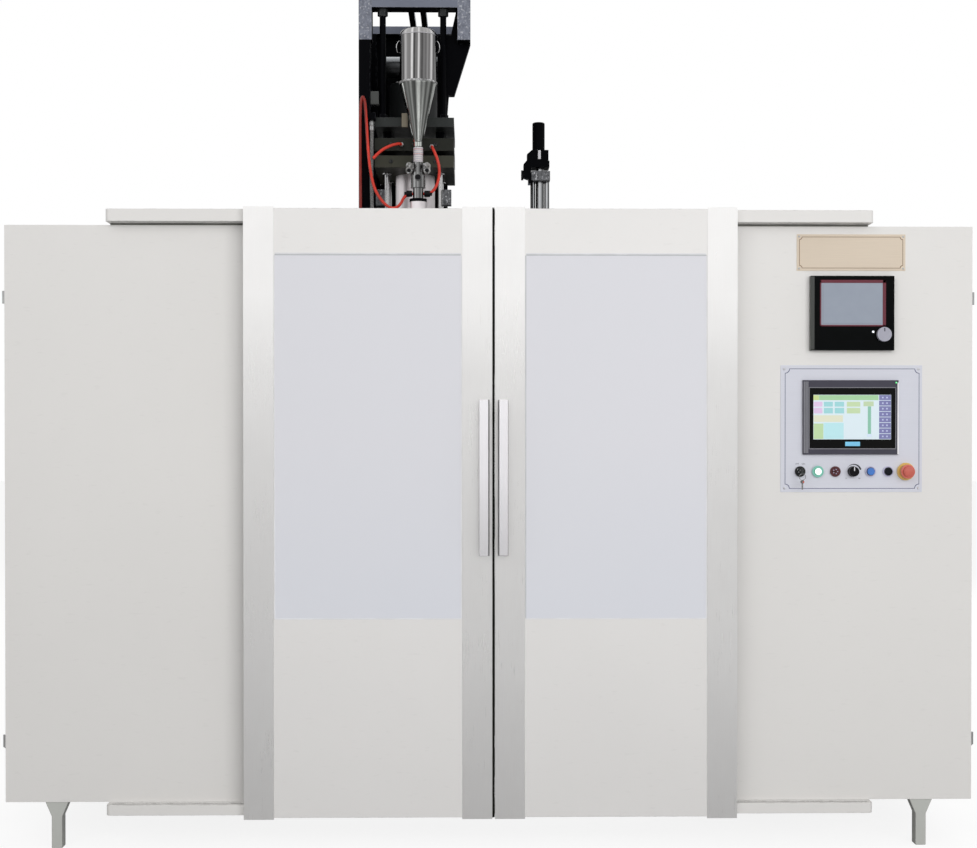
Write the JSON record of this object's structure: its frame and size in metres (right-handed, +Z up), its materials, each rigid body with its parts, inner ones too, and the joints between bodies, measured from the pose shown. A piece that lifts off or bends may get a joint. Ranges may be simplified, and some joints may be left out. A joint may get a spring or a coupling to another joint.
{
  "type": "blow moulding machine",
  "caption": "Enclosed shuttle blow moulding machine with sliding front doors, side cabinets, control screens, a die head frame and a blow unit above the doors.",
  "frame": {"origin": "centre of the bounding box at floor level", "axes": "+X to the right along the front, +Y from the sliding doors to the back, +Z up"},
  "size_m": [2.795, 1.94, 2.51],
  "materials": {
    "cabinet_paint": "satin warm white powder coat",
    "door_steel": "brushed stainless",
    "frosted_window": "frosted acrylic, pale lavender white",
    "machine_paint": "light grey machine enamel",
    "black_paint": "black enamel with a blue tint",
    "dark_steel": "blackened steel",
    "polished_steel": "polished stainless",
    "ground_steel": "ground steel",
    "mould_aluminium": "machined",
    "heater_cover": "stainless band covers",
    "red_hose": "red rubber hose",
    "grey_braid": "braided grey sleeve",
    "motor_paint": "blue-grey enamel",
    "plate_aluminium": "satin pale lavender anodised",
    "black_plastic": "fine matt",
    "dark_plastic": "fine matt",
    "bezel_black": "semi gloss",
    "green_lens": "lit lens",
    "blue_cap": "gloss",
    "black_cap": "gloss",
    "red_cap": "gloss",
    "knob_metal": "turned"
  },
  "bodies": {
    "machine": {"base_frame": "machine_paint", "levelling_feet": "dark_steel", "guard_legs": "cabinet_paint", "left_front_panel": "cabinet_paint", "right_front_panel": "cabinet_paint", "left_enclosure": "cabinet_paint", "control_cabinet": "cabinet_paint", "door_rails": "cabinet_paint", "head_frame": "black_paint", "head_plates": "dark_steel", "head_bolts": "ground_steel", "die_head": "heater_cover", "parison_cylinder": "dark_steel", "stripe_hopper": "polished_steel", "stripe_feeder": "ground_steel", "cooling_hoses": "red_hose", "conduit": "grey_braid", "extruder_barrel": "ground_steel", "heater_bands": "heater_cover", "gearbox": "motor_paint", "main_motor": "motor_paint", "main_hopper": "polished_steel", "hydraulic_tank": "machine_paint", "pump_unit": "motor_paint", "carriage_rails": "ground_steel", "shuttle_cylinder": "ground_steel", "blow_frame": "ground_steel", "blow_cylinder": "black_paint", "operator_plate": "plate_aluminium", "hmi": "dark_plastic", "parison_controller": "black_plastic", "control_bezels": "bezel_black"},
    "left_sliding_door": {"left_door_leaf": "cabinet_paint", "left_door_stiles": "door_steel", "left_door_window": "frosted_window", "left_door_handle": "door_steel"},
    "right_sliding_door": {"right_door_leaf": "cabinet_paint", "right_door_stiles": "door_steel", "right_door_window": "frosted_window", "right_door_handle": "door_steel"},
    "left_access_door": {"left_side_door": "cabinet_paint"},
    "right_access_door": {"right_side_door": "cabinet_paint"},
    "carriage": {"carriage": "machine_paint"},
    "front_clamp": {"front_platen": "machine_paint", "clamp_tie_bars": "polished_steel", "clamp_cylinder": "machine_paint", "front_mould": "mould_aluminium"},
    "rear_clamp": {"rear_platen": "machine_paint", "rear_mould": "mould_aluminium"},
    "blow_pin": {"blow_pin": "polished_steel"},
    "parison_rod": {"parison_rod": "ground_steel"},
    "extruder_screw": {"extruder_screw": "ground_steel"},
    "stroke_knob": {"stroke_knob": "black_plastic"},
    "controller_knob": {"controller_knob": "knob_metal"},
    "key_switch": {"key_switch": "ground_steel"},
    "green_button": {"green_button": "green_lens"},
    "speed_knob": {"speed_knob": "black_cap"},
    "blue_button": {"blue_button": "blue_cap"},
    "black_button": {"black_button": "black_cap"},
    "estop_button": {"estop_button": "red_cap"}
  },
  "joints": [
    {"name": "left_door_slide", "type": "slide", "parent": "machine", "child": "left_sliding_door", "axis": [-1, 0, 0], "range_m": [0, 0.385]},
    {"name": "right_door_slide", "type": "slide", "parent": "machine", "child": "right_sliding_door", "axis": [1, 0, 0], "range_m": [0, 0.385]},
    {"name": "left_access_door_hinge", "type": "hinge", "parent": "machine", "child": "left_access_door", "pos_m": [-1.3915, -0.838, 0.9565], "axis": [0, 0, 1], "range_deg": [0, 100]},
    {"name": "right_access_door_hinge", "type": "hinge", "parent": "machine", "child": "right_access_door", "pos_m": [1.3915, -0.838, 0.9565], "axis": [0, 0, -1], "range_deg": [0, 100]},
    {"name": "carriage_shuttle", "type": "slide", "parent": "machine", "child": "carriage", "axis": [1, 0, 0], "range_m": [0, 0.394]},
    {"name": "front_clamp_slide", "type": "slide", "parent": "carriage", "child": "front_clamp", "axis": [0, -1, 0], "range_m": [0, 0.14]},
    {"name": "rear_clamp_slide", "type": "slide", "parent": "carriage", "child": "rear_clamp", "axis": [0, 1, 0], "range_m": [0, 0.14]},
    {"name": "blow_pin_slide", "type": "slide", "parent": "machine", "child": "blow_pin", "axis": [0, 0, -1], "range_m": [0, 0.115]},
    {"name": "parison_rod_slide", "type": "slide", "parent": "machine", "child": "parison_rod", "axis": [0, 0, 1], "range_m": [0, 0.012]},
    {"name": "extruder_screw_spin", "type": "hinge", "parent": "machine", "child": "extruder_screw", "pos_m": [-0.232, 0.27, 1.75], "axis": [0, 1, 0], "continuous": true},
    {"name": "stroke_knob_turn", "type": "hinge", "parent": "machine", "child": "stroke_knob", "pos_m": [0.1095, -0.39, 2.003], "axis": [1, 0, 0], "continuous": true},
    {"name": "controller_knob_turn", "type": "hinge", "parent": "machine", "child": "controller_knob", "pos_m": [1.123, -0.89, 1.469], "axis": [0, 1, 0], "continuous": true},
    {"name": "key_switch_turn", "type": "hinge", "parent": "machine", "child": "key_switch", "pos_m": [0.888, -0.868, 1.077], "axis": [0, 1, 0], "range_deg": [0, 90]},
    {"name": "speed_knob_turn", "type": "hinge", "parent": "machine", "child": "speed_knob", "pos_m": [1.0401, -0.868, 1.077], "axis": [0, 1, 0], "range_deg": [-135, 135]},
    {"name": "green_button_push", "type": "slide", "parent": "machine", "child": "green_button", "axis": [0, 1, 0], "range_m": [0, 0.004], "stiffness_N_per_m": 400},
    {"name": "blue_button_push", "type": "slide", "parent": "machine", "child": "blue_button", "axis": [0, 1, 0], "range_m": [0, 0.004], "stiffness_N_per_m": 400},
    {"name": "black_button_push", "type": "slide", "parent": "machine", "child": "black_button", "axis": [0, 1, 0], "range_m": [0, 0.004], "stiffness_N_per_m": 400},
    {"name": "estop_button_push", "type": "slide", "parent": "machine", "child": "estop_button", "axis": [0, 1, 0], "range_m": [0, 0.006]}
  ],
  "couplings": [
    {"joint": "rear_clamp_slide", "follows": "front_clamp_slide", "ratio": 1}
  ]
}
